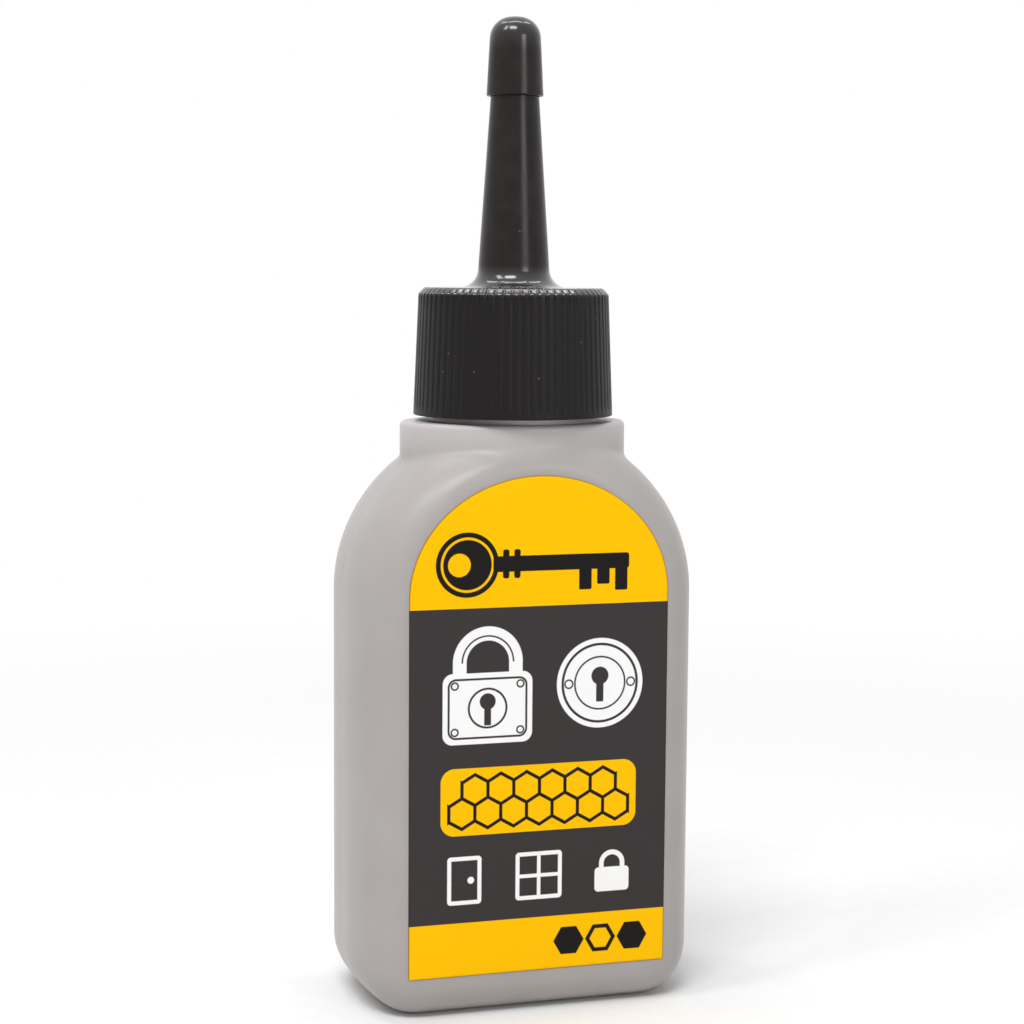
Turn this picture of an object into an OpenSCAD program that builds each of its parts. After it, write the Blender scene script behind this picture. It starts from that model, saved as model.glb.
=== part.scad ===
// Squeeze bottle of dry lock lubricant: a flat arched bottle, a ribbed screw cap that is one piece
// with its long nozzle, a push-on tip cap, a front label, a sealing washer and the powder inside.
// The base stands on z = 0, the front label faces -Y, and the neck and nozzle share the Z axis.

/* [Bottle] */
// Width of the bottle from side to side
bottle_w = 43.6; // [38:0.2:60]
// Depth of the bottle from the front panel to the back panel
bottle_d = 23.4; // [22:0.2:36]
// Height of the straight sides, up to where the arched shoulder springs
side_h = 50.6; // [35:0.2:80]
// Rise of the arched shoulder above the straight sides, up to the flat top of the collar
shoulder_rise = 20.95; // [18:0.05:28]
// How far the rounded side edges reach in from the sides
edge_w = 5.4; // [3:0.1:7]
// Width of the upright flat strip down the middle of each side
side_flat = 3.4; // [1:0.1:8]
// Radius of the two lower corners, halfway between front and back
foot_r = 7.4; // [5:0.1:11]
// Radius of the lower corners of the flat front and back panels
panel_corner_r = 2.6; // [2:0.1:6]
// Radius of the edges between the base and the front and back panels
base_edge_r = 4.2; // [3:0.1:6]
// Thickness of the bottle's wall
wall = 1.1; // [0.8:0.05:1.6]
// Thickness of the bottle's base
base_t = 1.6; // [1.2:0.1:2.4]
// Depth of the hollow under the base
pushup_depth = 0.7; // [0.3:0.1:0.9]
// Width of the rim that the bottle stands on, round the hollow
stand_rim = 3; // [2:0.1:4]

/* [Neck and collar] */
// Height of the neck from the collar to its rim
neck_h = 13.9; // [10:0.1:20]
// Diameter of the neck at the root of its thread
neck_d = 17.6; // [14:0.1:22]
// Wall thickness of the neck
neck_wall = 1.5; // [1:0.05:2.2]
// Depth of the thread that stands out from the neck
thread_depth = 1; // [0.6:0.05:1.4]
// How far the plain bead under the thread stands out past the thread
bead_step = 0.3; // [0.1:0.05:0.6]
// Height of the plain bead above the collar
bead_h = 2; // [1.4:0.1:3]
// Width of the collar's ledge beside the bead
collar_ledge_side = 4.05; // [1:0.05:6]
// Width of the collar's ledge in front of and behind the bead
collar_ledge_front = 0.7; // [0.4:0.05:1.4]
// Rounding of the collar's upper edge
collar_edge_r = 0.6; // [0.2:0.05:0.6]

/* [Nozzle cap] */
// Wall thickness of the cap's skirt at its lower edge, ribs included
cap_wall = 2.3; // [1.9:0.05:3]
// How much the skirt's radius shrinks from its lower edge to its top
cap_taper = 0.6; // [0:0.05:0.8]
// Thickness of the cap's flat deck
deck_t = 1.4; // [1:0.05:2.4]
// Open gap between the collar and the cap's lower edge
cap_gap = 0.7; // [0.4:0.05:1.3]
// Rounding of the cap's upper edge
cap_edge_r = 1; // [0.3:0.05:1.2]
// Number of grip ribs round the skirt
rib_count = 70; // [40:1:72]
// Radius of the rounded grooves between the ribs
groove_r = 0.32; // [0.2:0.02:0.36]
// Height of the plain band below the ribs
rib_band = 0.35; // [0.3:0.05:2]
// Length of the nozzle above the deck
nozzle_h = 31.2; // [20:0.2:60]
// Diameter of the nozzle where its taper meets the deck
nozzle_base_d = 9.05; // [8:0.05:12]
// Diameter of the nozzle at its open end
nozzle_tip_d = 4.85; // [4.4:0.05:7]
// Radius of the fillet round the nozzle's foot
nozzle_fillet_r = 2.4; // [0.8:0.05:2.6]
// Wall thickness of the nozzle
nozzle_wall = 1.3; // [1:0.05:1.6]
// Diameter of the outlet hole in the nozzle's end
outlet_d = 1.6; // [0.8:0.05:2]
// Length of the outlet hole
outlet_l = 3; // [1:0.1:6]

/* [Tip cap] */
// Length of nozzle that the tip cap covers
tip_cover = 8; // [4:0.1:12]
// Wall thickness of the tip cap at its open lip
tip_lip_wall = 0.42; // [0.2:0.01:0.8]
// Wall thickness of the tip cap beside the nozzle's end
tip_top_wall = 0.46; // [0.25:0.01:0.8]
// Thickness of the tip cap above the nozzle's end
tip_roof = 1.45; // [0.8:0.05:3]
// Rounding of the tip cap's closed end
tip_dome_r = 2.6; // [1:0.05:2.7]

/* [Label] */
// Thickness of the label film
label_t = 0.12; // [0.06:0.01:0.2]
// Bare strip of flat panel left beside the label
label_side_margin = 0.1; // [0.05:0.05:4]
// Bare strip of flat panel left below the label
label_foot_margin = 1; // [0.5:0.1:6]
// Bare strip of flat panel left above the label's arch
label_top_margin = 0.5; // [0.4:0.05:5]
// How far above the straight sides the label's arch springs
label_spring = 0.6; // [0:0.1:2]

/* [Inside] */
// Thickness of the sealing washer
washer_t = 1; // [0.6:0.05:2]
// Width of washer left bare round the nozzle's bore
washer_step = 1.2; // [0.5:0.1:2]
// Level of the powder above the straight sides' top
powder_rise = 5.4; // [-30:0.2:10]

/* [Hidden] */
// Clearance between the neck's thread and the cap's bore
thread_clear = 0.2;
// Clearance between the neck's bead and the cap's mouth
bead_clear = 0.3;
// Clearance between the washer's rim and the cap's bore
washer_clear = 0.3;
// Clearance between the nozzle and the tip cap
tip_clear = 0.1;
// Clearance between the powder and the bottle's inside
powder_clear = 0.15;
// How far cuts and joined pieces run past each other
overrun = 0.5;
// Fineness of round shapes, of the bottle's skin and of profile arcs
$fn = 96;
edge_steps = 7;
corner_steps = 5;
arch_steps = 36;
arc_steps = 8;

// Depth of the rounded side edges behind the panels
edge_d = (bottle_d - side_flat) / 2;
// Levels up the stack of neck, washer, cap and nozzle
collar_z = side_h + shoulder_rise;
rim_z = collar_z + neck_h;
deck_under_z = rim_z + washer_t;
deck_z = deck_under_z + deck_t;
skirt_z = collar_z + cap_gap;
nozzle_z = deck_z + nozzle_h;
powder_z = side_h + powder_rise;
// Radii of the neck and of what fits it
neck_r = neck_d / 2;
neck_bore_r = neck_r - neck_wall;
thread_r = neck_r + thread_depth;
bead_r = thread_r + bead_step;
cap_bore_r = thread_r + thread_clear;
mouth_r = bead_r + bead_clear;
mouth_h = bead_h - cap_gap + bead_clear;
skirt_r = cap_bore_r + cap_wall;
deck_r = skirt_r - cap_taper;
skirt_h = deck_z - skirt_z;
washer_r = cap_bore_r - washer_clear;
// Radii of the nozzle and of its tip cap
nozzle_slope = (nozzle_base_d - nozzle_tip_d) / 2 / nozzle_h;
nozzle_bore_r = nozzle_r(deck_under_z) - nozzle_wall;
outlet_z = nozzle_z - outlet_l;
lip_z = nozzle_z - tip_cover;
tip_seat_z = nozzle_z + tip_clear;
tip_z = tip_seat_z + tip_roof;
// Size and place of the label on the flat front panel
panel_w = bottle_w - 2 * edge_w;
label_w = panel_w - 2 * label_side_margin;
label_z = base_edge_r + label_foot_margin;
label_spring_z = side_h + label_spring;
label_rise = collar_z - edge_w - label_top_margin - label_spring_z;

plastic_grey = [0.64, 0.62, 0.61];
plastic_black = [0.15, 0.14, 0.14];
label_yellow = [1, 0.78, 0.04];
washer_white = [0.9, 0.9, 0.87];
graphite_grey = [0.24, 0.24, 0.26];

// Outer radius of the nozzle at a height
function nozzle_r(z) = nozzle_tip_d / 2 + (nozzle_z - z) * nozzle_slope;

// Points along an arc in a profile
function arc(x, z, r, from, to) = [
    for (i = [0 : arc_steps])
        let (a = from + (to - from) * i / arc_steps)
        [x + r * cos(a), z + r * sin(a)]
];

// Rise of a rounded edge of two half-axes, at a distance into it
function edge_rise(into, reach, rise) =
    let (q = min(max(into / reach, 0), 1))
    rise * (1 - sqrt(1 - q * q));

// Front outline of the bottle's skin at one depth: lower right corner, arch, lower left corner
function skin_slice(y, half_w, corner_r, floor_z, rise) = concat(
    [for (i = [0 : corner_steps])
        let (a = -90 + 90 * i / corner_steps)
        [half_w - corner_r + corner_r * cos(a), y, floor_z + corner_r + corner_r * sin(a)]],
    [for (i = [0 : arch_steps])
        let (a = 180 * i / arch_steps)
        [half_w * cos(a), y, side_h + rise * sin(a)]],
    [for (i = [0 : corner_steps])
        let (a = 180 + 90 * i / corner_steps)
        [-half_w + corner_r + corner_r * cos(a), y, floor_z + corner_r + corner_r * sin(a)]]
);

// Skin of the bottle, set in from its outside by a wall and standing on a floor
function skin_slices(inset, floor_z) = [
    for (side = [-1, 1], step = [0 : edge_steps])
        let (
            a = 90 * (side < 0 ? edge_steps - step : step) / edge_steps,
            half_d = bottle_d / 2 - inset,
            y = half_d - (edge_d - inset) * (1 - sin(a)),
            in = (edge_w - inset) * (1 - cos(a)),
            corner_r = foot_r + (panel_corner_r - foot_r) * (1 - cos(a)) - inset,
            base_r = base_edge_r - inset,
            lift = edge_rise(y - half_d + base_r, base_r, base_r)
        )
        skin_slice(side * y, bottle_w / 2 - inset - in, corner_r, floor_z + lift, shoulder_rise - inset - in)
];

// Solid skinned over a row of outlines that have equal numbers of points
module loft(slices) {
    n = len(slices[0]);
    last = len(slices) - 1;
    sides = [
        for (k = [0 : last - 1], j = [0 : n - 1])
            let (a = k * n + j, b = k * n + (j + 1) % n)
            each [[a, b, b + n], [a, b + n, a + n]]
    ];
    front = [for (j = [n - 1 : -1 : 0]) j];
    back = [for (j = [0 : n - 1]) last * n + j];
    polyhedron([for (s = slices) each s], concat(sides, [front, back]));
}

// Oval boss with a rounded upper edge that carries the neck
module collar(inset) {
    front_r = bead_r + collar_ledge_front - inset;
    side_r = bead_r + collar_ledge_side - inset;
    top_z = collar_z - inset;
    scale([side_r / front_r, 1, 1])
        rotate_extrude()
            polygon(concat(
                [[0, side_h], [front_r, side_h]],
                arc(front_r - collar_edge_r, top_z - collar_edge_r, collar_edge_r, 0, 90),
                [[0, top_z]]
            ));
}

// Hollow under the base, a slot with round ends inside the standing rim
module pushup() {
    half_d = bottle_d / 2 - base_edge_r - stand_rim;
    half_l = bottle_w / 2 - foot_r - stand_rim - half_d;
    translate([0, 0, -overrun])
        linear_extrude(pushup_depth + overrun) {
            square([2 * half_l, 2 * half_d], center = true);
            for (side = [-1, 1])
                translate([side * half_l, 0])
                    circle(half_d);
        }
}

// Blow-moulded bottle: skinned shell, collar, plain bead and neck, with an open bore
module bottle() {
    color(plastic_grey)
        difference() {
            union() {
                loft(skin_slices(0, 0));
                collar(0);
                translate([0, 0, side_h])
                    cylinder(h = collar_z + bead_h - side_h, r = bead_r);
                translate([0, 0, side_h])
                    cylinder(h = rim_z - side_h, r = neck_r);
            }
            loft(skin_slices(wall, base_t));
            collar(wall);
            translate([0, 0, side_h])
                cylinder(h = rim_z - side_h + overrun, r = neck_bore_r);
            pushup();
        }
}

// Half profile of the cap and nozzle, from the skirt's lower edge over the nozzle and back inside
module cap_profile() {
    tilt = atan(nozzle_slope);
    fillet_x = nozzle_r(deck_z + nozzle_fillet_r) + nozzle_fillet_r / cos(tilt);
    polygon(concat(
        [[mouth_r, skirt_z], [skirt_r, skirt_z]],
        arc(deck_r - cap_edge_r, deck_z - cap_edge_r, cap_edge_r, 0, 90),
        arc(fillet_x, deck_z + nozzle_fillet_r, nozzle_fillet_r, 270, 180 + tilt),
        [[nozzle_r(nozzle_z), nozzle_z], [outlet_d / 2, nozzle_z], [outlet_d / 2, outlet_z]],
        [[nozzle_r(outlet_z) - nozzle_wall, outlet_z], [nozzle_bore_r, deck_under_z]],
        [[cap_bore_r, deck_under_z], [cap_bore_r, skirt_z + mouth_h], [mouth_r, skirt_z + mouth_h]]
    ));
}

// Screw cap and nozzle in one piece, with rounded grooves cut round its skirt
module nozzle_cap() {
    color(plastic_black)
        difference() {
            rotate_extrude()
                cap_profile();
            for (i = [0 : rib_count - 1])
                rotate(360 * i / rib_count)
                    translate([skirt_r, 0, skirt_z])
                        rotate([0, -atan(cap_taper / skirt_h), 0])
                            translate([0, 0, rib_band])
                                cylinder(h = skirt_h, r = groove_r, $fn = 16);
        }
}

// Push-on cap with a domed end and a tapered socket for the nozzle
module tip_cap() {
    lip_r = nozzle_r(lip_z) + tip_clear + tip_lip_wall;
    top_r = nozzle_tip_d / 2 + tip_clear + tip_top_wall;
    color(plastic_black)
        rotate_extrude()
            polygon(concat(
                [[nozzle_r(lip_z) + tip_clear, lip_z], [lip_r, lip_z]],
                arc(top_r - tip_dome_r, tip_z - tip_dome_r, tip_dome_r, 0, 90),
                [[0, tip_z], [0, tip_seat_z], [nozzle_r(tip_seat_z) + tip_clear, tip_seat_z]]
            ));
}

// Printed film on the flat front panel, straight below and arched above
module front_label() {
    color(label_yellow)
        translate([0, -bottle_d / 2, 0])
            rotate([90, 0, 0])
                linear_extrude(label_t)
                    polygon(concat(
                        [[-label_w / 2, label_z], [label_w / 2, label_z]],
                        [for (i = [0 : arch_steps])
                            let (a = 180 * i / arch_steps)
                            [label_w / 2 * cos(a), label_spring_z + label_rise * sin(a)]]
                    ));
}

// Flat ring that seals the neck's rim against the cap's deck
module sealing_washer() {
    color(washer_white)
        translate([0, 0, rim_z])
            difference() {
                cylinder(h = washer_t, r = washer_r);
                translate([0, 0, -overrun])
                    cylinder(h = washer_t + 2 * overrun, r = nozzle_bore_r + washer_step);
            }
}

// Loose powder that fills the bottle up to a level below the shoulder
module graphite_powder() {
    color(graphite_grey)
        intersection() {
            loft(skin_slices(wall + powder_clear, base_t + powder_clear));
            translate([-bottle_w / 2, -bottle_d / 2, 0])
                cube([bottle_w, bottle_d, powder_z]);
        }
}

bottle();
nozzle_cap();
tip_cap();
front_label();
sealing_washer();
graphite_powder();
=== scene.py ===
import math

import bpy
import numpy as np
from mathutils import Matrix, Quaternion, Vector


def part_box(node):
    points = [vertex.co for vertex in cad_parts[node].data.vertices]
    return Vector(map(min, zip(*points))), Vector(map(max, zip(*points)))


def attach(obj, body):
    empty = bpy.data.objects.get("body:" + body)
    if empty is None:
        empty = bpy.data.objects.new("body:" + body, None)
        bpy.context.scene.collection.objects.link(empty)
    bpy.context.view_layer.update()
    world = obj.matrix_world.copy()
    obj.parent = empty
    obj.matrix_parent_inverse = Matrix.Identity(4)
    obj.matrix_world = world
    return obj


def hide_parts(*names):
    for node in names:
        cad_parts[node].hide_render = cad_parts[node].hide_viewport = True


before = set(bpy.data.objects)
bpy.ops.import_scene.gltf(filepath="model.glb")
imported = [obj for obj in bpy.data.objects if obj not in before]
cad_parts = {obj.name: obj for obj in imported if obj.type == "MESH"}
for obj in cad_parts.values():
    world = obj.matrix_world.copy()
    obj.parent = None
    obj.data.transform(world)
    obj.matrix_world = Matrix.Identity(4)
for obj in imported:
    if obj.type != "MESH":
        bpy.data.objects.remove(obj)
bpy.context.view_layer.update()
mm = 0.001  # pieces are written in millimetres


def nodeBox(name):
    low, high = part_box(name)
    return low / mm, high / mm


def smoothStep(low, high, value):
    t = np.clip((value - low) / (high - low), 0, 1)
    return t * t * (3 - 2 * t)


def smoothMost(a, b, reach):  # the larger of two radii, with a fillet where they cross
    over = np.maximum(reach - np.abs(a - b), 0)
    return np.maximum(a, b) + over * over / (4 * reach)


# Profile through corners of (radius, height, rounding), with support points that keep the flats flat
def roundedPath(corners, steps=6, support=0.2):  # a corner may bring its own number of steps
    path = []
    count = len(corners)
    for i, (radius, height, rounding, *own) in enumerate(corners):
        here = np.array([radius, height], float)
        if not rounding:
            path.append(here)
            continue
        back = np.array(corners[i - 1][:2], float) - here
        ahead = np.array(corners[(i + 1) % count][:2], float) - here
        backLength, aheadLength = np.linalg.norm(back), np.linalg.norm(ahead)
        back, ahead = back / backLength, ahead / aheadLength
        half = math.acos(np.clip(back @ ahead, -1, 1)) / 2
        tangent = rounding / math.tan(half)
        middle = here + (back + ahead) / np.linalg.norm(back + ahead) * rounding / math.sin(half)
        first, last = here + back * tangent - middle, here + ahead * tangent - middle
        sweep = math.pi - 2 * half
        if tangent + support < backLength / 2:
            path.append(here + back * (tangent + support))
        parts = own[0] if own else steps
        for step in range(parts + 1):
            t = step / parts
            turn = math.sin((1 - t) * sweep) * first + math.sin(t * sweep) * last
            path.append(middle + turn / math.sin(sweep))
        if tangent + support < aheadLength / 2:
            path.append(here + ahead * (tangent + support))
    return np.array(path)


def rowsOfRings(radii, heights, angles):  # radii has a row per ring and a column per angle
    radii = np.broadcast_to(radii, (len(heights), len(angles)))
    heights = np.broadcast_to(np.asarray(heights, float)[:, None], radii.shape)
    return np.stack([radii * np.cos(angles), radii * np.sin(angles), heights], -1)


def evenAngles(count):
    return np.arange(count) * 2 * math.pi / count


# Skin over rings that run up the outside; the ends close on points, or the last ring joins the first
def skinPiece(name, rings, start=None, end=None):
    count, around = rings.shape[:2]
    points = rings.reshape(-1, 3)
    near = np.arange(around)
    far = (near + 1) % around
    loop = start is None
    rows = np.arange(count if loop else count - 1)[:, None] * around
    above = (rows + around) % (count * around)
    faces = np.stack([rows + near, rows + far, above + far, above + near], -1).reshape(-1, 4).tolist()
    if not loop:
        top = (count - 1) * around
        points = np.vstack([points, start, end])
        faces += [[len(points) - 2, b, a] for a, b in zip(near.tolist(), far.tolist())]
        faces += [[top + a, top + b, len(points) - 1] for a, b in zip(near.tolist(), far.tolist())]
    mesh = bpy.data.meshes.new(name)
    mesh.from_pydata((points * mm).tolist(), [], faces)
    mesh.polygons.foreach_set("use_smooth", [True] * len(faces))
    mesh.validate()
    piece = bpy.data.objects.new(name, mesh)
    bpy.context.scene.collection.objects.link(piece)
    return piece


def dress(piece, material, body, slot, *nodes):
    piece.data.materials.append(material)
    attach(piece, body)
    if nodes:
        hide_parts(*nodes)
    print("made", piece.name, len(piece.data.polygons), "faces")


# A socket that takes part in sums; each sum adds its own node
class Wire:
    def __init__(self, tree, socket=None):
        self.tree, self.socket = tree, socket

    def node(self, kind, settings=None, sockets=None, out=0):
        made = self.tree.nodes.new("ShaderNode" + kind)
        for key, value in (settings or {}).items():
            setattr(made, key, value)
        for key, value in (sockets or {}).items():
            if isinstance(value, Wire):
                self.tree.links.new(value.socket, made.inputs[key])
            else:
                made.inputs[key].default_value = value
        return Wire(self.tree, made.outputs[out] if made.outputs else None)

    def pick(self, out):  # another output of the same node
        return Wire(self.tree, self.socket.node.outputs[out])

    def maths(self, operation, *values):
        return self.node("Math", {"operation": operation}, dict(enumerate(values)))

    def __add__(self, other):
        return self.maths("ADD", self, other)

    def __radd__(self, other):
        return self.maths("ADD", other, self)

    def __sub__(self, other):
        return self.maths("SUBTRACT", self, other)

    def __rsub__(self, other):
        return self.maths("SUBTRACT", other, self)

    def __mul__(self, other):
        return self.maths("MULTIPLY", self, other)

    def __rmul__(self, other):
        return self.maths("MULTIPLY", other, self)

    def __truediv__(self, other):
        return self.maths("DIVIDE", self, other)

    def __neg__(self):
        return self.maths("MULTIPLY", self, -1.0)

    def __abs__(self):
        return self.maths("ABSOLUTE", self)

    def __or__(self, other):  # union of two shapes, or the smaller value
        return self.maths("MINIMUM", self, other)

    def __and__(self, other):  # overlap of two shapes, or the larger value
        return self.maths("MAXIMUM", self, other)

    def root(self):
        return self.maths("SQRT", self)

    def ramp(self, low, high):  # 0 at low, 1 at high, smooth between
        return self.node("MapRange", {"interpolation_type": "SMOOTHSTEP"}, {0: self, 1: low, 2: high})

    def mix(self, first, second):  # colours, by this share of the second
        return self.node("Mix", {"data_type": "RGBA"}, {0: self, 6: first, 7: second}, out=2)


def newFinish(name):
    material = bpy.data.materials.new(name)
    material.use_nodes = True
    material.node_tree.nodes.clear()
    return material, Wire(material.node_tree)


def place(start):  # where a point is on its piece, in millimetres
    metres = start.node("TexCoord", out="Object")
    return start.node("VectorMath", {"operation": "SCALE"}, {0: metres, "Scale": 1 / mm})


def noise(point, scale, detail=2.0, roughness=0.5):
    sockets = {"Vector": point, "Scale": scale, "Detail": detail, "Roughness": roughness}
    return point.node("TexNoise", {}, sockets)


def bumped(height, strength, distance):
    return height.node("Bump", {}, {"Strength": strength, "Distance": distance * mm, "Height": height})


def surface(start, **sockets):
    named = {key.replace("_", " "): value for key, value in sockets.items()}
    shader = start.node("BsdfPrincipled", {}, named)
    start.node("OutputMaterial", {}, {"Surface": shader})


def seenRays(start):  # 1 where the studio itself is seen: by the camera, in gloss or through glass
    rays = start.node("LightPath", out="Is Camera Ray")
    return (rays + rays.pick("Is Glossy Ray") + rays.pick("Is Transmission Ray")) | 1.0


bottleLook = {
    "grey": (0.36, 0.337, 0.329, 1),
    "cloudGrey": (0.376, 0.354, 0.346, 1),
    "paleGrey": (0.465, 0.444, 0.44, 1),
    "paleFrom": (66, 71),  # height at which the shoulder turns paler, up to the collar
    "cloudScale": 0.11,
    "cloudRange": (0.3, 0.7),
    "cloudBump": 4,  # times the grain's
    "grainScale": 2.6,
    "roughness": (0.28, 0.36),
    "bump": (0.25, 0.02),
    "ior": 1.51,
    "specular": 0.22,
}


def bottleFinish(look):
    material, start = newFinish("satin_grey_plastic")
    point = place(start)
    height = start.node("SeparateXYZ", {}, {0: point}, out="Z")
    cloud = noise(point, look["cloudScale"], 3.0).ramp(*look["cloudRange"])
    grain = noise(point, look["grainScale"], 4.0, 0.6)
    clouded = cloud.mix(look["grey"], look["cloudGrey"])
    low, high = look["roughness"]
    surface(
        start,
        Base_Color=height.ramp(*look["paleFrom"]).mix(clouded, look["paleGrey"]),
        Roughness=low + grain * (high - low),
        Normal=bumped(grain + cloud * look["cloudBump"], *look["bump"]),
        IOR=look["ior"],
        Specular_IOR_Level=look["specular"],
    )
    return material


blackLook = {
    "black": (0.0108, 0.0076, 0.0076, 1),
    "worn": (0.015, 0.0112, 0.0108, 1),
    "mattBlack": (0.0045, 0.0032, 0.0032, 1),
    "dust": (0.075, 0.071, 0.068, 1),
    "streakScale": 0.5,
    "streakRange": (0.35, 0.7),
    "grainScale": 5.0,
    "speckScale": 0.38,
    "specks": (0.06, 0.03),  # how near to its middle a speck of dust fades and is full
    "roughness": (0.22, 0.3),
    "mattMore": 0.16,
    "mattFade": 0.1,
    "bump": (0.12, 0.012),
    "ior": 1.5,
    "specular": 0.2,
    "shineRoughness": 0.1,
}


def blackFinish(name, look, gloss, zeroZ):  # heights in gloss are counted from zeroZ
    material, start = newFinish(name)
    point = place(start)
    height = start.node("SeparateXYZ", {}, {0: point}, out="Z")
    streak = noise(point, look["streakScale"], 3.0).ramp(*look["streakRange"])
    grain = noise(point, look["grainScale"], 3.0, 0.6)
    apart = start.node("TexVoronoi", {}, {"Vector": point, "Scale": look["speckScale"]}, out="Distance")
    low, high = look["roughness"]
    mattZ = zeroZ + gloss["mattBelow"]
    matt = height.ramp(mattZ + look["mattFade"], mattZ - look["mattFade"])
    black = matt.mix(streak.mix(look["black"], look["worn"]), look["mattBlack"])
    rise, fall = ([zeroZ + z for z in gloss[key]] for key in ("rise", "fall"))
    shiny = height.ramp(*rise) * height.ramp(*fall)
    surface(
        start,
        Base_Color=apart.ramp(*look["specks"]).mix(black, look["dust"]),
        Roughness=low + (high - low) * (grain + streak) * 0.5 + matt * look["mattMore"],
        Normal=bumped(grain, *look["bump"]),
        IOR=look["ior"],
        Specular_IOR_Level=look["specular"],
        Coat_Weight=shiny * gloss["coat"],
        Coat_Roughness=look["shineRoughness"],
    )
    return material


def disc(x, z, radius):
    return (x * x + z * z).root() - radius


def slab(x, z, halfX, halfZ, rounding):
    farX, farZ = abs(x) - (halfX - rounding), abs(z) - (halfZ - rounding)
    outX, outZ = farX & 0.0, farZ & 0.0
    return (outX * outX + outZ * outZ).root() + ((farX & farZ) | 0.0) - rounding


def hexagon(x, z, radius):
    wide, tall = abs(x), abs(z)
    return ((wide * math.cos(math.pi / 6) + tall * 0.5) & tall) - radius


def outlineOf(shape, width):
    return abs(shape) - width / 2


labelLook = {
    "yellow": (0.96, 0.515, 0.001, 1),
    "dark": (0.0455, 0.0395, 0.04, 1),
    "ink": (0.014, 0.0125, 0.0115, 1),
    "white": (0.88, 0.88, 0.875, 1),
    # painted shade along the label's cut edge, over the yellow and over the dark band
    "yellowEdgeShade": (0.36, 0.16, 0.004, 1),
    "darkEdgeShade": (0.034, 0.029, 0.029, 1),
    "lowerLine": 11.8,
    "upperLine": 50.0,
    # how far in from the label's cut edge the painted edge shade reaches
    "edgeWidth": 0.16,
    "soft": 0.05,  # how far the print's edges blur
    "wornScale": 0.9,
    "waveScale": 0.16,
    "waveBump": 5,  # times the wear's
    "roughness": 0.34,
    "wornRoughness": 0.14,
    "bump": (0.2, 0.02),
    "ior": 1.5,
    "specular": 0.04,
}
keyArt = {
    "z": 55.2,
    "bowX": -9.2,
    "bow": 3.9,
    "ring": (3.15, 0.3),
    "holeX": -10.2,
    "hole": 1.4,
    "stemX": 2.6,
    "stem": (8.6, 0.95, 0.35),  # half length, half height and corner
    "stopX": (-4.4, -3.0),
    "stop": (0.4, 1.75, 0.3),
    "bits": ((5.6, 1.7), (7.9, 1.4), (10.2, 1.8)),  # place along the stem and half length
    "bit": (0.8, 0.2),  # half width and corner
}
keyholeShares = {"head": 0.8, "slot": 0.7, "slotHalf": (0.43, 1.4), "corner": 0.12}  # of the head's radius
padlockShares = {"corner": 0.22, "lift": 0.35, "leg": 0.45}  # of the half width, then of the bow's radius
padlockArt = {
    "x": -6.6,
    "z": 42.2,
    "half": 5.6,
    "tall": 4.3,
    "bow": 3.5,
    "bar": 1.7,
    "line": 0.26,
    "fineLine": 0.8,  # as a share of the line
    "inset": 0.75,
    "insetCorner": 0.16,  # as a share of the half width
    "groove": 0.18,  # how far inside the bow's middle, as a share of the bar
    "rivet": (4.1, 2.8, 0.42),
    "plate": 2.35,
    "keyhole": 1.0,
}
faceArt = {
    "x": 7.6,
    "z": 40.3,
    "rim": 5.5,
    "rings": ((4.75, 0.32), (3.2, 0.22)),
    "screwX": 3.97,
    "screw": 0.5,
    "screwLine": 0.2,
    "keyhole": 1.1,
}
bannerArt = {
    "z": 26.6,
    "half": (12.4, 4.1),
    "corner": 1.7,
    "pitch": 3.25,
    "line": 0.42,
    "rows": ((7, -1), (6, 1)),  # how many hexagons, below and above the middle
}
signArt = {
    "z": 17.0,
    "apart": 9.4,
    "half": 2.7,
    "line": 0.5,
    "corner": 0.2,
    "door": (0.7, 0.3),  # half width and knob's place, as shares of the half height
    "knob": 0.42,
    "bar": 0.45,  # as a share of the line
    "lockUp": 0.15,
    "lock": (0.82, 0.56, 0.5),  # half width, half height and bow, as shares of the half height
    "lockBar": 1.2,
}
flakeArt = {"z": 8.6, "x": (3.9, 8.0, 12.1), "radius": 1.7, "line": 0.5}
barCorner = 0.05  # rounding of thin printed bars


def keyhole(x, z, size):
    shares = keyholeShares
    halfX, halfZ = shares["slotHalf"]
    slot = slab(x, z + size * shares["slot"], size * halfX, size * halfZ, size * shares["corner"])
    return disc(x, z - size * shares["head"], size) | slot


def keyShape(x, z, art):
    z = z - art["z"]
    bow = disc(x - art["bowX"], z, art["bow"]) & -disc(x - art["holeX"], z, art["hole"])
    radius, line = art["ring"]
    key = bow & -outlineOf(disc(x - art["bowX"], z, radius), line)
    key = key | slab(x - art["stemX"], z, *art["stem"])
    for stopX in art["stopX"]:
        key = key | slab(x - stopX, z, *art["stop"])
    half, corner = art["bit"]
    for bitX, reach in art["bits"]:
        key = key | slab(x - bitX, z + reach, half, reach, corner)
    return key


def padlock(x, z, half, tall, bow, bar):  # z is up from the body's top edge
    body = slab(x, z + tall, half, tall, half * padlockShares["corner"])
    rise = z - bow * padlockShares["lift"]
    shackle = outlineOf(disc(x, rise, bow), bar) & -rise
    legs = slab(abs(x) - bow, z, bar / 2, bow * padlockShares["leg"], barCorner)
    return body | shackle | legs


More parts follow.
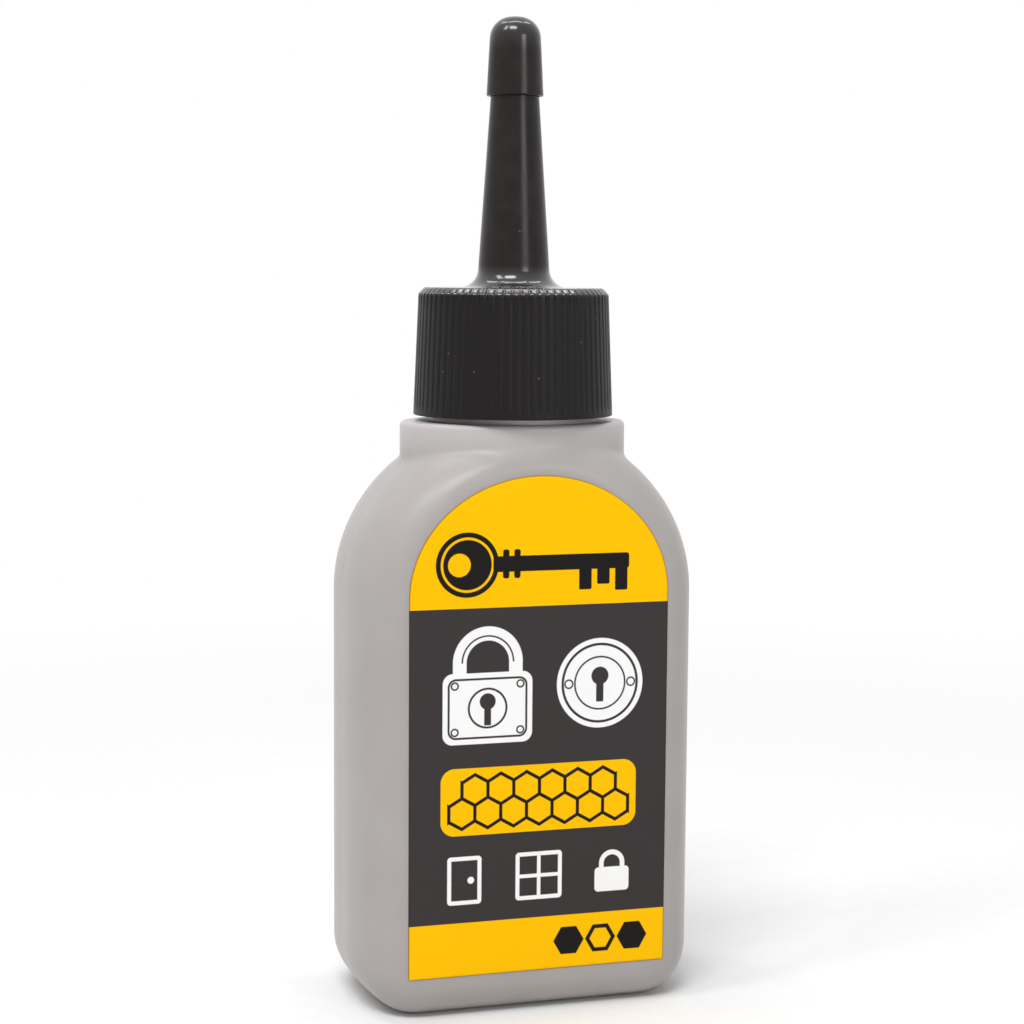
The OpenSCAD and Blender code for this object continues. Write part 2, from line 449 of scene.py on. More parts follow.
def largePadlock(x, z, art):
    x, z = x - art["x"], z - art["z"]
    half, tall, bow, bar = art["half"], art["tall"], art["bow"], art["bar"]
    line, inset = art["line"], art["inset"]
    fineLine = line * art["fineLine"]
    middle = z + tall
    rivetX, rivetZ, rivet = art["rivet"]
    lines = outlineOf(slab(x, middle, half - inset, tall - inset, half * art["insetCorner"]), line)
    lines = lines | outlineOf(disc(x, middle, art["plate"]), line) | keyhole(x, middle, art["keyhole"])
    lines = lines | outlineOf(disc(abs(x) - rivetX, abs(middle) - rivetZ, rivet), fineLine)
    rise = z - bow * padlockShares["lift"]
    groove = outlineOf(disc(x, rise, bow - bar * art["groove"]), fineLine) & -rise
    return padlock(x, z, half, tall, bow, bar) & -(lines | groove)


def lockFace(x, z, art):
    x, z = x - art["x"], z - art["z"]
    screws = outlineOf(disc(abs(x) - art["screwX"], z, art["screw"]), art["screwLine"])
    lines = keyhole(x, z, art["keyhole"]) | screws
    for radius, line in art["rings"]:
        lines = lines | outlineOf(disc(x, z, radius), line)
    return disc(x, z, art["rim"]) & -lines


def flakeRows(x, z, art):  # two rows of hexagons that share their sides
    pitch, line = art["pitch"], art["line"]
    shape = None
    for count, side in art["rows"]:
        shift = 0 if count % 2 else pitch / 2
        across = x.maths("WRAP", x + shift, pitch / 2, -pitch / 2)
        row = outlineOf(hexagon(z - side * pitch * math.sqrt(3) / 4, across, pitch / 2), line)
        row = row & (abs(x) - (count * pitch + line) / 2)
        shape = row if shape is None else shape | row
    return shape


def signRow(x, z, art):  # a door, a window and a padlock
    z = z - art["z"]
    apart, half, line, corner = art["apart"], art["half"], art["line"], art["corner"]
    doorX = x + apart
    doorHalf, knobX = (half * share for share in art["door"])
    door = outlineOf(slab(doorX, z, doorHalf, half, corner), line) | disc(doorX - knobX, z, art["knob"])
    bar = line * art["bar"]
    window = outlineOf(slab(x, z, half, half, corner), line)
    window = window | slab(x, z, bar, half, barCorner) | slab(x, z, half, bar, barCorner)
    lockSizes = [half * share for share in art["lock"]]
    lock = padlock(x - apart, z - half * art["lockUp"], *lockSizes, line * art["lockBar"])
    return door | window | lock


def flakeSign(x, z, art):
    z = z - art["z"]
    left, middle, right = art["x"]
    full = hexagon(x - left, z, art["radius"]) | hexagon(x - right, z, art["radius"])
    return full | outlineOf(hexagon(x - middle, z, art["radius"] - art["line"] / 2), art["line"])


def labelFinish(look, halfWidth, low, spring, rise):
    material, start = newFinish("printed_film")
    point = place(start)
    x = start.node("SeparateXYZ", {}, {0: point}, out="X")
    z = x.pick("Z")

    def printed(shape):  # 1 inside a shape, 0 outside
        return shape.ramp(look["soft"], -look["soft"])

    bandMiddle = (look["lowerLine"] + look["upperLine"]) / 2
    band = abs(z - bandMiddle) - (look["upperLine"] - look["lowerLine"]) / 2
    bannerZ = z - bannerArt["z"]
    banner = slab(x, bannerZ, *bannerArt["half"], bannerArt["corner"])
    white = largePadlock(x, z, padlockArt) | lockFace(x, z, faceArt) | signRow(x, z, signArt)
    black = keyShape(x, z, keyArt) | flakeRows(x, bannerZ, bannerArt) | flakeSign(x, z, flakeArt)
    color = printed(band).mix(look["yellow"], look["dark"])
    color = printed(white).mix(color, look["white"])
    color = printed(banner).mix(color, look["yellow"])
    color = printed(black).mix(color, look["ink"])
    # painted shade: the print turns darker within edgeWidth of the label's cut outline
    edge = printed(band).mix(look["yellowEdgeShade"], look["darkEdgeShade"])
    rim = disc(x / halfWidth, ((z - spring) & 0.0) / rise, 1.0) * rise & (low - z)
    color = rim.ramp(-look["edgeWidth"], 0.0).mix(color, edge)
    worn = noise(point, look["wornScale"], 3.0)
    wave = noise(point, look["waveScale"])
    surface(
        start,
        Base_Color=color,
        Roughness=look["roughness"] + worn * look["wornRoughness"],
        Normal=bumped(wave * look["waveBump"] + worn, *look["bump"]),
        IOR=look["ior"],
        Specular_IOR_Level=look["specular"],
    )
    return material


bottleForm = {
    "sideTop": 50.6,  # where the arched shoulder springs
    "edgeWidth": 5.4,
    "sideFlat": 3.4,
    "footRadius": 7.4,
    "panelCorner": 2.6,
    "baseEdge": 4.2,
    "wall": 1.1,
    "base": 1.6,
    "pushUp": 0.7,
    "pushUpShares": (0.2, 0.45, 0.7, 0.87),  # rings across the hollow under the base
    "standRim": 3.0,
    "collarTop": 71.55,
    "collarSide": 14.15,
    "collarFront": 10.8,
    "collarEdge": 0.6,
    "collarBlend": 0.9,  # fillet between the collar and the shoulder
    "beadRadius": 10.1,
    "beadTop": 73.55,
    "beadFillet": 0.08,  # small, because the collar's ledge is narrow in front
    "neckRadius": 8.8,
    "neckEdge": 0.3,
    "boreRadius": 7.3,
    "floorShares": (0.66, 0.33),  # rings across the floor inside
    "around": 280,
    "fineAngles": 7200,
    "partingHeight": 0.04,
    "partingWidth": 0.22,
    "partingRows": (-2, -1.2, -0.6, 0, 0.6, 1.2, 2),  # in widths from the parting line
    "partingFoot": (1, 5),  # heights between which the parting line comes up
    "partingTop": (2, 1),  # how far below the collar's top it dies away
}
halvings = 44  # steps in which the skin's place is found
bottleHigh = nodeBox("bottle")[1]
halfWidth, halfDepth, rimZ = bottleHigh.x, bottleHigh.y, bottleHigh.z


def insideSkin(x, y, z, inset, floorZ):
    form = bottleForm
    depth = halfDepth - inset
    reach = halfDepth - form["sideFlat"] / 2 - inset
    bend = 1 - np.sqrt(1 - np.clip(1 - (depth - y) / reach, 0, 1) ** 2)
    drawIn = (form["edgeWidth"] - inset) * bend
    rise = form["collarTop"] - form["sideTop"] - inset - drawIn
    corner = form["footRadius"] + (form["panelCorner"] - form["footRadius"]) * bend - inset
    baseEdge = form["baseEdge"] - inset
    into = np.clip((y - depth + baseEdge) / baseEdge, 0, 1)
    foot = floorZ + baseEdge * (1 - np.sqrt(1 - into ** 2))
    arch = np.sqrt(1 - np.clip((z - form["sideTop"]) / rise, 0, 1) ** 2)
    under = 1 - np.sqrt(1 - np.clip(1 - (z - foot) / corner, 0, 1) ** 2)
    width = (halfWidth - inset - drawIn) * arch - corner * under
    return (y <= depth) & (z >= foot) & (z <= form["sideTop"] + rise) & (x <= width)


def skinRadii(angles, heights, inset=0.0, floorZ=0.0):  # how far the skin is from the axis
    alongX, alongY = np.abs(np.cos(angles)), np.abs(np.sin(angles))
    heights = np.asarray(heights, float)[:, None]
    low = np.zeros((len(heights), len(angles)))
    high = np.full_like(low, 2 * halfWidth)
    for step in range(halvings):
        middle = (low + high) / 2
        inside = insideSkin(middle * alongX, middle * alongY, heights, inset, floorZ)
        low, high = np.where(inside, middle, low), np.where(inside, high, middle)
    return low


def bottleAngles(form):  # evenly spaced along the outline, closer together at the parting line
    fine = evenAngles(form["fineAngles"])
    radii = skinRadii(fine, [form["sideTop"] / 2])[0]
    outline = np.stack([radii * np.cos(fine), radii * np.sin(fine)], -1)
    lengths = np.linalg.norm(np.roll(outline, -1, 0) - outline, axis=1)
    along = np.concatenate([[0], np.cumsum(lengths)])
    spots = np.arange(form["around"]) / form["around"] * along[-1]
    even = np.interp(spots, along, np.append(fine, 2 * math.pi))
    beside = np.array(form["partingRows"]) * form["partingWidth"] / halfWidth
    angles = np.concatenate([even, beside, beside + math.pi]) % (2 * math.pi)
    return np.unique(np.round(angles, 5))


def ovalRadii(angles, side, front):
    return side * front / np.hypot(front * np.cos(angles), side * np.sin(angles))


def slotRadii(angles, halfLength, end):  # slot with round ends
    across, along = np.abs(np.sin(angles)), np.abs(np.cos(angles))
    flat = end / np.maximum(across, 1e-6)
    cap = halfLength * along + np.sqrt(np.maximum(end ** 2 - (halfLength * across) ** 2, 0))
    return np.where(flat * along <= halfLength, flat, cap)


def arcHeights(low, high, count):  # close together at low, as up a rounded foot
    return low + (high - low) * (1 - np.cos(np.linspace(0, math.pi / 2, count)))


def withCollar(radii, heights, collar, form):  # the shoulder runs up into the oval collar
    blended = smoothMost(radii, collar[None], form["collarBlend"])
    return np.where((heights > form["sideTop"])[:, None], blended, radii)


def bottlePiece(form):
    angles = bottleAngles(form)
    top, wall, sideTop = form["collarTop"], form["wall"], form["sideTop"]
    rows = []

    def ring(radii, height):
        rows.append(rowsOfRings(np.broadcast_to(radii, angles.shape)[None], [height], angles)[0])

    slotEnd = halfDepth - form["baseEdge"] - form["standRim"]
    slot = slotRadii(angles, halfWidth - form["footRadius"] - form["standRim"] - slotEnd, slotEnd)
    for share in form["pushUpShares"]:
        ring(slot * share, form["pushUp"])
    for t in np.linspace(0, 1, 9):  # rounded step down to the standing rim
        ring(slot + (t - 0.5) * form["pushUp"], form["pushUp"] * (1 - smoothStep(0, 1, t)))

    heights = np.concatenate([
        arcHeights(0, form["footRadius"], 22),
        np.linspace(form["footRadius"], sideTop, 9)[1:],
        np.linspace(sideTop, top - form["collarEdge"], 64)[1:],
    ])
    collar = ovalRadii(angles, form["collarSide"], form["collarFront"])
    radii = withCollar(skinRadii(angles, heights), heights, collar, form)
    diesAway = [top - down for down in form["partingTop"]]
    fade = smoothStep(*form["partingFoot"], heights) * (1 - smoothStep(*diesAway, heights))
    parting = np.exp(-(radii * np.sin(angles) / form["partingWidth"]) ** 2) * form["partingHeight"]
    parting = parting * fade[:, None]
    for height, outline, seam in zip(heights, radii, parting):
        ring(outline + seam * (outline < halfWidth - seam), height)

    rounding = form["collarEdge"]
    for t in np.linspace(0, math.pi / 2, 7)[1:]:
        ring(collar - rounding * (1 - math.cos(t)), top - rounding * (1 - math.sin(t)))
    edge, fillet = form["neckEdge"], form["beadFillet"]
    ring((collar - rounding + form["beadRadius"] + fillet) / 2, top)
    neck = roundedPath([
        (form["beadRadius"] + fillet, top, 0),
        (form["beadRadius"], top, fillet * 0.9),  # ends just short of the point before it
        (form["beadRadius"], form["beadTop"], edge),
        (form["neckRadius"], form["beadTop"], edge),
        (form["neckRadius"], rimZ, edge),
        (form["boreRadius"], rimZ, edge),
        (form["boreRadius"], top - wall, edge),
        (form["boreRadius"] + 2 * edge, top - wall, 0),
    ])
    for radius, height in neck:
        ring(radius, height)

    inner = ovalRadii(angles, form["collarSide"] - wall, form["collarFront"] - wall)
    for t in np.linspace(0, math.pi / 2, 5):
        ring(inner - edge * (1 - math.sin(t)), top - wall - edge * (1 - math.cos(t)))
    footTop = form["base"] + form["footRadius"] - wall
    depths = np.concatenate([
        np.linspace(top - wall - edge, sideTop, 30)[1:],
        np.linspace(sideTop, footTop, 5)[1:],
        arcHeights(form["base"], footTop, 12)[::-1][1:],
    ])
    hollow = withCollar(skinRadii(angles, depths, wall, form["base"]), depths, inner, form)
    for height, outline in zip(depths, hollow):
        ring(outline, height)
    for share in form["floorShares"]:
        ring(hollow[-1] * share, form["base"])
    return skinPiece("bottle_shell", np.array(rows), (0, 0, form["pushUp"]), (0, 0, form["base"]))


bottle = bottlePiece(bottleForm)
dress(bottle, bottleFinish(bottleLook), "bottle", "bottle_plastic", "bottle")

capForm = {
    "mouth": 10.4,
    "bore": 10.0,
    "reliefTop": 73.85,
    "deckRadius": 11.7,
    "deckEdge": 1.0,
    "deckFlat": 1.4,  # how far in from its edge the deck is flat
    "deckZ": 87.85,
    "deckUnder": 86.45,
    "endArcs": ((44.4, 0.5), (45.6, 32.0), (90, 0.5)),  # rib's end: slope reached, and radius to get there
    "ribs": 70,
    "ribDepth": (0.1, 0.2),  # of the grooves, down the skirt and near the deck
    "ribDeepen": (2.4, 0.9),  # how far below the deck the grooves start to deepen, and are full
    "ribStart": (-0.1, 1.1),  # how far above the band the grooves start, and are full
    "ribRows": ((-0.1, 1.2), (4, 9), (11.4, 13.4)),  # above the band: close, wide apart, close
    "grooveHalf": 0.25,  # as a share of the rib's pitch
    "perRib": 12,
    "band": 0.35,
    "nozzleFoot": 9.05,
    "nozzleTip": 4.85,
    "nozzleFillet": 2.4,
    "nozzleWall": 1.3,
    "outlet": 1.6,
    "outletLength": 3.0,
    "skirtEdges": (0.15, 0.12),  # inside and outside
    "nozzleEdges": (0.25, 0.15),  # outside and inside
    "outletEdge": 0.1,
    "boreEdges": (0.2, 0.3),  # at the outlet and at the deck
    "deckCorner": 0.3,
    "reliefEdges": (0.15, 0.1),
}
capGloss = {"mattBelow": -1, "coat": 1.0, "rise": (-0.85, -0.7), "fall": (3, 1)}  # from the deck
capLow, capHigh = nodeBox("nozzle_cap")


def nozzleRadius(form, height):
    share = (height - form["deckZ"]) / (capHigh.z - form["deckZ"])
    return (form["nozzleFoot"] + (form["nozzleTip"] - form["nozzleFoot"]) * share) / 2


def ribEnds(form, steps=4):  # from the skirt over the deck's edge, in three roundings
    points, slope = [np.zeros(2)], 0
    for reached, rounding in form["endArcs"]:
        for step in np.linspace(slope, reached, steps + 1)[1:]:
            half = math.radians((step + slope) / 2)
            length = rounding * math.radians(step - slope)
            points.append(points[-1] + length * np.array([-math.sin(half), math.cos(half)]))
            slope = step
    shift = np.array([form["deckRadius"], form["deckZ"] - points[-1][1]])
    return [(*(point + shift), 0) for point in points]


def capPiece(form):
    skirt, low, top = capHigh.x, capLow.z, capHigh.z
    slope = (skirt - form["deckRadius"]) / (form["deckZ"] - form["deckEdge"] - low)
    outlet, outletZ = form["outlet"] / 2, top - form["outletLength"]
    boreTop, boreFoot = (nozzleRadius(form, z) - form["nozzleWall"] for z in (outletZ, form["deckUnder"]))
    band = low + form["band"]
    first, middle, last = form["ribRows"]
    above = [*np.linspace(*first, 6), *middle, *np.linspace(*last, 6)]
    path = roundedPath([
        (form["mouth"], low, form["skirtEdges"][0]),
        (skirt, low, form["skirtEdges"][1]),
        *((skirt - (band + z - low) * slope, band + z, 0) for z in above),
        *ribEnds(form),
        (form["deckRadius"] - form["deckFlat"], form["deckZ"], 0),
        (form["nozzleFoot"] / 2, form["deckZ"], form["nozzleFillet"], 10),
        (form["nozzleTip"] / 2, top, form["nozzleEdges"][0]),
        (outlet, top, form["nozzleEdges"][1]),
        (outlet, outletZ, form["outletEdge"]),
        (boreTop, outletZ, form["boreEdges"][0]),
        (boreFoot, form["deckUnder"], form["boreEdges"][1]),
        (form["bore"], form["deckUnder"], form["deckCorner"]),
        (form["bore"], form["reliefTop"], form["reliefEdges"][0]),
        (form["mouth"], form["reliefTop"], form["reliefEdges"][1]),
    ], steps=5)
    angles = evenAngles(form["ribs"] * form["perRib"])
    along = np.abs((angles * form["ribs"] / (2 * math.pi) + 0.5) % 1 - 0.5)
    wave = np.maximum(1 - along / form["grooveHalf"], 0)
    radii, heights = path[:, :1], path[:, 1]
    shallow, deep = form["ribDepth"]
    deepen = [form["deckZ"] - down for down in form["ribDeepen"]]
    start = [band + up for up in form["ribStart"]]
    depth = shallow + (deep - shallow) * smoothStep(*deepen, heights)
    depth *= smoothStep(*start, heights)
    onSkirt = radii > form["deckRadius"] - form["deckEdge"]
    ribbed = radii - onSkirt * depth[:, None] * wave
    return skinPiece("ribbed_cap_and_nozzle", rowsOfRings(ribbed, heights, angles))


cap = capPiece(capForm)
capFinish = blackFinish("black_cap_plastic", blackLook, capGloss, capForm["deckZ"])
dress(cap, capFinish, "closure", "cap_plastic", "nozzle_cap")

tipForm = {
    "clear": 0.1,
    "dome": 2.6,
    "topRadius": 2.985,
    "roof": 1.45,
    "seatCorner": 0.25,
    "lipEdges": (0.08, 0.16),  # inside and outside
    "midRings": (0.6, 0.3),  # smallest rings round the axis, under the roof and on top
    "around": 96,
}
tipGloss = {"mattBelow": -11, "coat": 0.8, "rise": (-4.6, -0.6), "fall": (1, 0)}  # from the top
tipLow, tipHigh = nodeBox("tip_cap")


def tipPiece(form):
    lip, top = tipLow.z, tipHigh.z
    seat = top - form["roof"]
    path = roundedPath([
        (form["midRings"][0], seat, 0),
        (nozzleRadius(capForm, seat) + form["clear"], seat, form["seatCorner"]),
        (nozzleRadius(capForm, lip) + form["clear"], lip, form["lipEdges"][0]),
        (tipHigh.x, lip, form["lipEdges"][1]),
        (form["topRadius"], top, form["dome"]),
        (form["midRings"][1], top, 0),
    ], steps=12)
    rings = rowsOfRings(path[:, :1], path[:, 1], evenAngles(form["around"]))
    return skinPiece("push_on_tip", rings, (0, 0, seat), (0, 0, top))


tip = tipPiece(tipForm)
tipFinish = blackFinish("black_tip_plastic", blackLook, tipGloss, tipHigh.z)
dress(tip, tipFinish, "tip", "tip_plastic", "tip_cap")

labelForm = {
    "spring": 51.2,
    "corner": 0.2,
    "edge": 0.04,
    "cornerUp": 3,  # first point above a lower corner
    "sideUp": 8,  # first of the points up a side
    "footIn": 1,  # first of the points along the foot
    "shares": (0.985, 0.93, 0.75, 0.5, 0.25),
}
labelLow, labelHigh = nodeBox("front_label")


def labelPiece(form):
    halfW, low, top, front, back = labelHigh.x, labelLow.z, labelHigh.z, labelLow.y, labelHigh.y
    spring, cornerTop = form["spring"], low + form["cornerUp"]
    foot = roundedPath([
        (-halfW, cornerTop, 0),
        (-halfW, low, form["corner"]),
        (halfW, low, form["corner"]),
        (halfW, cornerTop, 0),
    ], steps=4)
    half = len(foot) // 2
    bottom = [(x, low) for x in np.linspace(form["footIn"] - halfW, halfW - form["footIn"], 16)]
    sideRight = [(halfW, z) for z in np.linspace(low + form["sideUp"], spring, 12)]
    sideLeft = [(-x, z) for x, z in reversed(sideRight)]
    turns = np.linspace(0, math.pi, 65)[1:-1]
    arch = [(halfW * math.cos(turn), spring + (top - spring) * math.sin(turn)) for turn in turns]
    outline = np.array([*foot[:half], *bottom, *foot[half:], *sideRight, *arch, *sideLeft])
    middle = np.array([0.0, (low + top) / 2])
    inset = (outline - middle) * (1 - form["edge"] / halfW) + middle
    rows = [(outline, back), (outline, front + form["edge"]), (inset, front)]
    rows += [((outline - middle) * share + middle, front) for share in form["shares"]]
    rings = np.array([[(x, y, z) for x, z in points] for points, y in rows])
    return skinPiece("printed_label", rings, (0, back, middle[1]), (0, front, middle[1]))


label = labelPiece(labelForm)
labelRise = labelHigh.z - labelForm["spring"]
labelPaint = labelFinish(labelLook, labelHigh.x, labelLow.z, labelForm["spring"], labelRise)
dress(label, labelPaint, "bottle", "label_film", "front_label")

washerForm = {
    "edge": 0.2,
    "hole": 4.519,
    "groove": 0.12,
    "grooveSlope": 0.2,
    "grooveEdge": 0.05,
    "around": 128,
}
washerLook = {
    "shade": (0.7, 0.7, 0.66, 1),
    "white": (0.84, 0.84, 0.8, 1),
    "cellScale": 6.0,
    "roughness": 0.75,
    "cellRoughness": 0.2,
    "bump": (0.5, 0.05),
}
washerLow, washerHigh = nodeBox("sealing_washer")


def washerFinish(look):
    material, start = newFinish("white_foam")
    cells = noise(place(start), look["cellScale"], 3.0, 0.6)
    surface(
        start,
        Base_Color=cells.mix(look["shade"], look["white"]),
        Roughness=look["roughness"] + cells * look["cellRoughness"],
        Normal=bumped(cells, *look["bump"]),
    )
    return material


def washerPiece(form):  # the neck's rim has pressed a shallow ring into its underside
    low, high, rim = washerLow.z, washerHigh.z, washerHigh.x
    pressed, slope, edge = low + form["groove"], form["grooveSlope"], form["grooveEdge"]
    path = roundedPath([
        (form["hole"], low, form["edge"]),
        (bottleForm["boreRadius"], low, edge),
        (bottleForm["boreRadius"] + slope, pressed, edge),
        (bottleForm["neckRadius"] - slope, pressed, edge),
        (bottleForm["neckRadius"], low, edge),
        (rim, low, form["edge"]),
        (rim, high, form["edge"]),
        (form["hole"], high, form["edge"]),
    ])
    return skinPiece("foam_washer", rowsOfRings(path[:, :1], path[:, 1], evenAngles(form["around"])))


washer = washerPiece(washerForm)
dress(washer, washerFinish(washerLook), "seal", "washer_foam", "sealing_washer")

powderForm = {
    "clear": 0.15,
    "heap": 0.9,
    "crown": 0.65,  # how much of the heap is its crown, as a share; the rest is room for ripples
    "floorShares": (0.3, 0.65),
    "topShares": (0.985, 0.95, 0.88, 0.78, 0.66, 0.54, 0.42, 0.3, 0.18, 0.08),
    "around": 160,
}
powderLook = {
    "dark": (0.03, 0.03, 0.033, 1),
    "pale": (0.075, 0.075, 0.08, 1),
    "lumpScale": 0.8,
    "flakeScale": 9.0,
    "roughness": 0.75,
    "flakeRoughness": -0.4,
    "smoothFlakes": (0.6, 0.75),
    "metalFlakes": (0.55, 0.75),
    "metal": 0.5,
    "lumpBump": 2,  # times the flakes'
    "bump": (0.6, 0.15),
}
powderHigh = nodeBox("graphite_powder")[1]


def powderFinish(look):
    material, start = newFinish("graphite_powder")
    point = place(start)
    lumps = noise(point, look["lumpScale"], 4.0, 0.6)
    flakes = noise(point, look["flakeScale"], 2.0, 0.7)
    surface(
        start,
        Base_Color=lumps.mix(look["dark"], look["pale"]),
        Roughness=look["roughness"] + flakes.ramp(*look["smoothFlakes"]) * look["flakeRoughness"],
        Metallic=flakes.ramp(*look["metalFlakes"]) * look["metal"],
        Normal=bumped(lumps * look["lumpBump"] + flakes, *look["bump"]),
    )
    return material


def ripple(x, y):  # low waves on top of the powder
    return 0.2 * np.sin(x * 0.9 + 1) * np.cos(y * 1.3) + 0.12 * np.sin(x * 2.1 - y * 1.7)


def powderPiece(form):
    angles = evenAngles(form["around"])
    inset, floorZ = bottleForm["wall"] + form["clear"], bottleForm["base"] + form["clear"]
    shore = powderHigh.z - form["heap"]
    footTop = floorZ + bottleForm["footRadius"] - inset
    heights = np.concatenate([arcHeights(floorZ, footTop, 12), np.linspace(footTop, shore, 14)[1:]])
    radii = skinRadii(angles, heights, inset, floorZ)
    rows = [rowsOfRings(radii[:1] * share, [floorZ], angles)[0] for share in form["floorShares"]]
    rows += list(rowsOfRings(radii, heights, angles))
    for share in form["topShares"]:
        x, y = radii[-1] * share * np.cos(angles), radii[-1] * share * np.sin(angles)
        crown = form["heap"] * form["crown"] * (1 - share ** 2)
        heap = shore + crown + ripple(x, y) * (1 - share ** 4)
        rows.append(np.stack([x, y, np.minimum(heap, powderHigh.z)], -1))
    centre = (0, 0, float(rows[-1][:, 2].mean()))
    return skinPiece("powder_charge", np.array(rows), (0, 0, floorZ), centre)


powder = powderPiece(powderForm)
dress(powder, powderFinish(powderLook), "bottle", "powder", "graphite_powder")

threadForm = {
    "pitch": 3.175,
    "turns": 1.5,
    "startZ": 79.2,
    "depth": 0.85,
    "least": 0.02,  # depth that is left at the ends
    "root": 0.6,
    "crest": 0.24,
    "edge": 0.06,
    "endWidth": 0.4,  # as a share of the full width
    "taper": 0.12,
    "sunk": 0.15,
    "perTurn": 96,
}


def threadPiece(name, form, rootRadius, outward, startZ):
    count = int(form["turns"] * form["perTurn"])
    edge = form["edge"]
    rows = []
    for i in range(count + 1):
        t = i / count
        full = float(smoothStep(0, form["taper"], t) * smoothStep(0, form["taper"], 1 - t))
        turn = t * form["turns"] * 2 * math.pi
        middle = startZ + t * form["turns"] * form["pitch"]
        crest = rootRadius + outward * (form["depth"] * full + form["least"])
        root, bevel = rootRadius - outward * form["sunk"], crest - outward * edge
        width = form["endWidth"] + (1 - form["endWidth"]) * full
        half, tip = form["root"] * width, form["crest"] * width
        shape = [(root, -half), (bevel, -tip - edge), (crest, -tip + edge),
                 (crest, tip - edge), (bevel, tip + edge), (root, half)]
        shape = shape if outward < 0 else shape[::-1]
        rows.append([(r * math.cos(turn), r * math.sin(turn), middle + z) for r, z in shape])
    rings = np.array(rows)
    return skinPiece(name, rings, rings[0].mean(0), rings[-1].mean(0))


neckStart = threadForm["startZ"]
neckThread = threadPiece("neck_thread", threadForm, bottleForm["neckRadius"], 1, neckStart)
dress(neckThread, bottle.data.materials[0], "bottle", "bottle_plastic")
capStart = neckStart - threadForm["pitch"] / 2  # runs between the neck's turns
capThread = threadPiece("cap_thread", threadForm, capForm["bore"], -1, capStart)
dress(capThread, cap.data.materials[0], "closure", "cap_plastic")

view = {
    "turn": 17.5,  # degrees that the camera stands to the left of the front
    "pitch": 6.02,
    "roll": 0.41,
    "distance": 285.59,
    "height": 90.21,
    "focalPixels": 2311.51,
    "imagePixels": 1024,
    "sensor": 36,
    "clip": (0.01, 20),
}


def cameraAxes(view):
    turn, pitch, roll = (math.radians(view[key]) for key in ("turn", "pitch", "roll"))
    level = math.cos(pitch)
    forward = Vector((level * math.sin(turn), level * math.cos(turn), -math.sin(pitch)))
    right = Vector((math.cos(turn), -math.sin(turn), 0))
    up = right.cross(forward)
    rolledRight = right * math.cos(roll) + up * math.sin(roll)
    rolledUp = up * math.cos(roll) - right * math.sin(roll)
    return rolledRight, rolledUp, forward


def makeCamera(view):
    right, up, forward = cameraAxes(view)
    data = bpy.data.cameras.new("photo_camera")
    data.sensor_width = view["sensor"]
    data.lens = view["focalPixels"] * view["sensor"] / view["imagePixels"]
    data.clip_start, data.clip_end = view["clip"]
    camera = bpy.data.objects.new("photo_camera", data)
    turn = math.radians(view["turn"])
    spot = Vector((-math.sin(turn), -math.cos(turn), 0)) * view["distance"]
    spot.z = view["height"]
    facing = Matrix((right, up, -forward)).transposed().to_4x4()
    camera.matrix_world = Matrix.Translation(spot * mm) @ facing
    bpy.context.scene.collection.objects.link(camera)
    bpy.context.scene.camera = camera


makeCamera(view)
print("camera set")

# Lamps by turn to the left of the camera and rise, in degrees; level is what a white card facing it shows
lampBase = {"distance": 0.7, "twist": 0}
lamps = {
    "upper_front": {"turn": 14, "rise": 55, "wide": 0.3, "tall": 0.18, "level": 0.52},
    "upper_left": {"turn": 57, "rise": 50, "wide": 0.14, "tall": 0.22, "level": 0.2},
    "overhead": {"turn": 180, "rise": 87.5, "wide": 0.44, "tall": 0.08, "level": 0.19},
    "high_left": {"turn": 120, "rise": 60, "wide": 0.05, "tall": 0.24, "twist": -23, "level": 0.07},
    "high_right": {"turn": -120, "rise": 60, "wide": 0.05, "tall": 0.24, "twist": 23, "level": 0.07},
    "right_strip": {"turn": -39, "rise": 15.2, "distance": 0.62, "wide": 0.18, "tall": 0.14, "level": 0.14},
}
studio = {
    "aim": 62.0,
    "darkest": -24,  # degrees to the left of the camera where the studio is dimmest
    "brightestZ": -0.35,  # the brightest side lies low, behind the bottle
    "light": (0.3, 0.9),  # at the dimmest and the brightest side
    "floorGrey": (0.8, 0.84),
    "floorGrain": 0.3,
    "floorFade": (0.06, 0.32),
    "floorReach": 3.0,
}


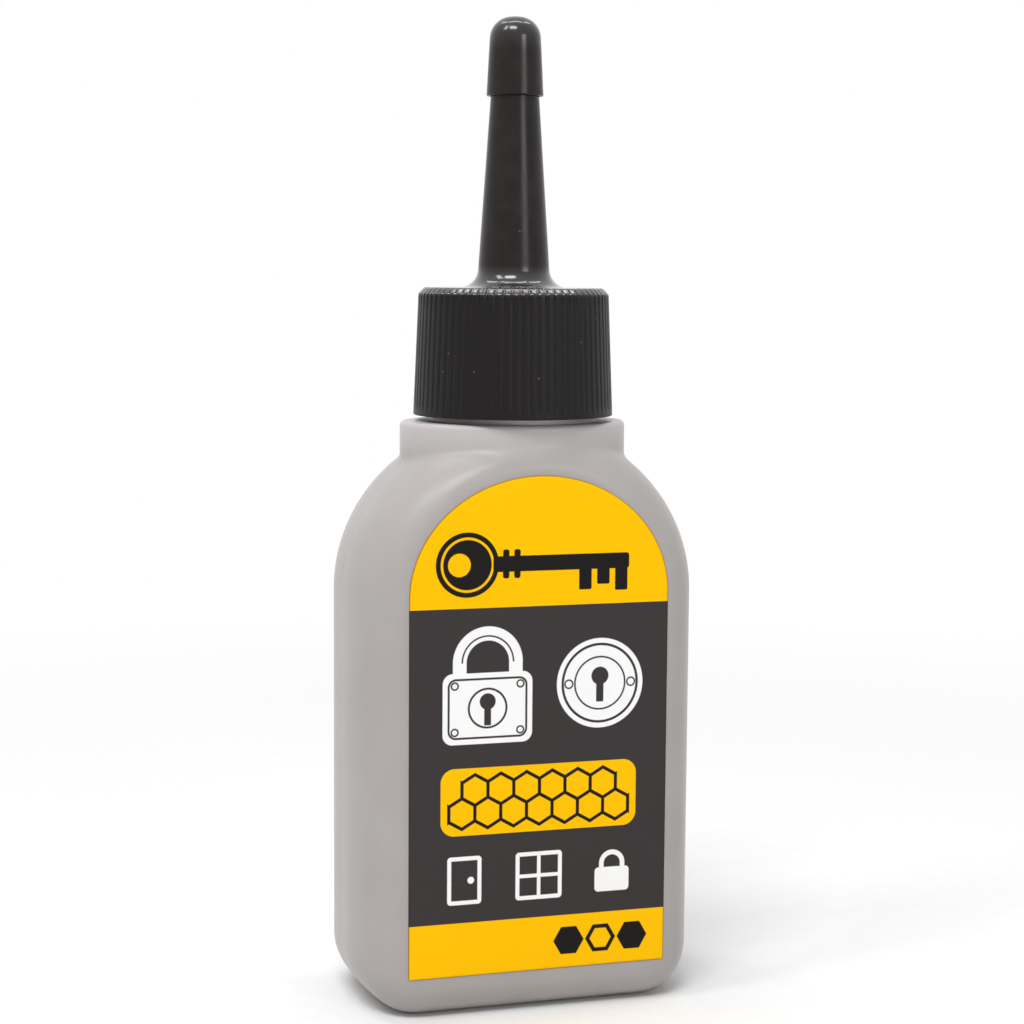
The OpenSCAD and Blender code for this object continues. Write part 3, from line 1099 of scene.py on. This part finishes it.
def makeLamp(name, lamp):
    side, rise = math.radians(view["turn"] + lamp["turn"]), math.radians(lamp["rise"])
    level = math.cos(rise)
    towards = Vector((-math.sin(side) * level, -math.cos(side) * level, math.sin(rise)))
    data = bpy.data.lights.new(name, "AREA")
    data.shape = "RECTANGLE"
    data.size, data.size_y = lamp["wide"], lamp["tall"]
    data.energy = lamp["level"] * (math.pi * lamp["distance"]) ** 2
    made = bpy.data.objects.new(name, data)
    made.location = Vector((0, 0, studio["aim"] * mm)) + towards * lamp["distance"]
    made.rotation_mode = "QUATERNION"
    twist = Quaternion((0, 0, 1), math.radians(lamp["twist"]))
    made.rotation_quaternion = (-towards).to_track_quat("-Z", "Y") @ twist
    bpy.context.scene.collection.objects.link(made)


for name, lamp in lamps.items():
    makeLamp(name, {**lampBase, **lamp})


def grey(level):
    return level, level, level, 1


def makeWorld():  # white where it is seen, and brighter behind the bottle than in front
    world = bpy.data.worlds.new("white_studio")
    world.use_nodes = True
    world.node_tree.nodes.clear()
    start = Wire(world.node_tree)
    side = math.radians(view["turn"] + studio["darkest"])
    brightest = (math.sin(side), math.cos(side), studio["brightestZ"])
    way = start.node("TexCoord", out="Generated")
    towards = start.node("VectorMath", {"operation": "DOT_PRODUCT"}, {0: way, 1: brightest}, out="Value")
    share = towards * 0.5 + 0.5
    color = share.mix(*(grey(level) for level in studio["light"]))
    color = seenRays(start).mix(color, grey(1))
    back = start.node("Background", {}, {"Color": color, "Strength": 1.0})
    start.node("OutputWorld", {}, {"Surface": back})
    bpy.context.scene.world = world


def floorFinish():  # pale floor that keeps the soft shadow near the bottle and turns white further out
    material, start = newFinish("pale_floor")
    spot = start.node("TexCoord", out="Object")
    away = start.node("VectorMath", {"operation": "LENGTH"}, {0: spot}, out="Value")
    grain = noise(place(start), studio["floorGrain"])
    color = grain.mix(*(grey(level) for level in studio["floorGrey"]))
    shade = start.node("BsdfDiffuse", {}, {"Color": color})
    glow = start.node("Emission", {}, {"Color": grey(1), "Strength": 1.0})
    far = away.ramp(*studio["floorFade"]) * seenRays(start)
    both = start.node("MixShader", {}, {0: far, 1: shade, 2: glow})
    start.node("OutputMaterial", {}, {"Surface": both})
    return material


def makeFloor():
    reach = studio["floorReach"]
    mesh = bpy.data.meshes.new("pale_floor")
    corners = [(-reach, -reach, 0), (reach, -reach, 0), (reach, reach, 0), (-reach, reach, 0)]
    mesh.from_pydata(corners, [], [(0, 1, 2, 3)])
    floor = bpy.data.objects.new("pale_floor", mesh)
    floor.data.materials.append(floorFinish())
    bpy.context.scene.collection.objects.link(floor)


makeWorld()
makeFloor()
bpy.context.scene.view_settings.view_transform = "Standard"
print("studio set")
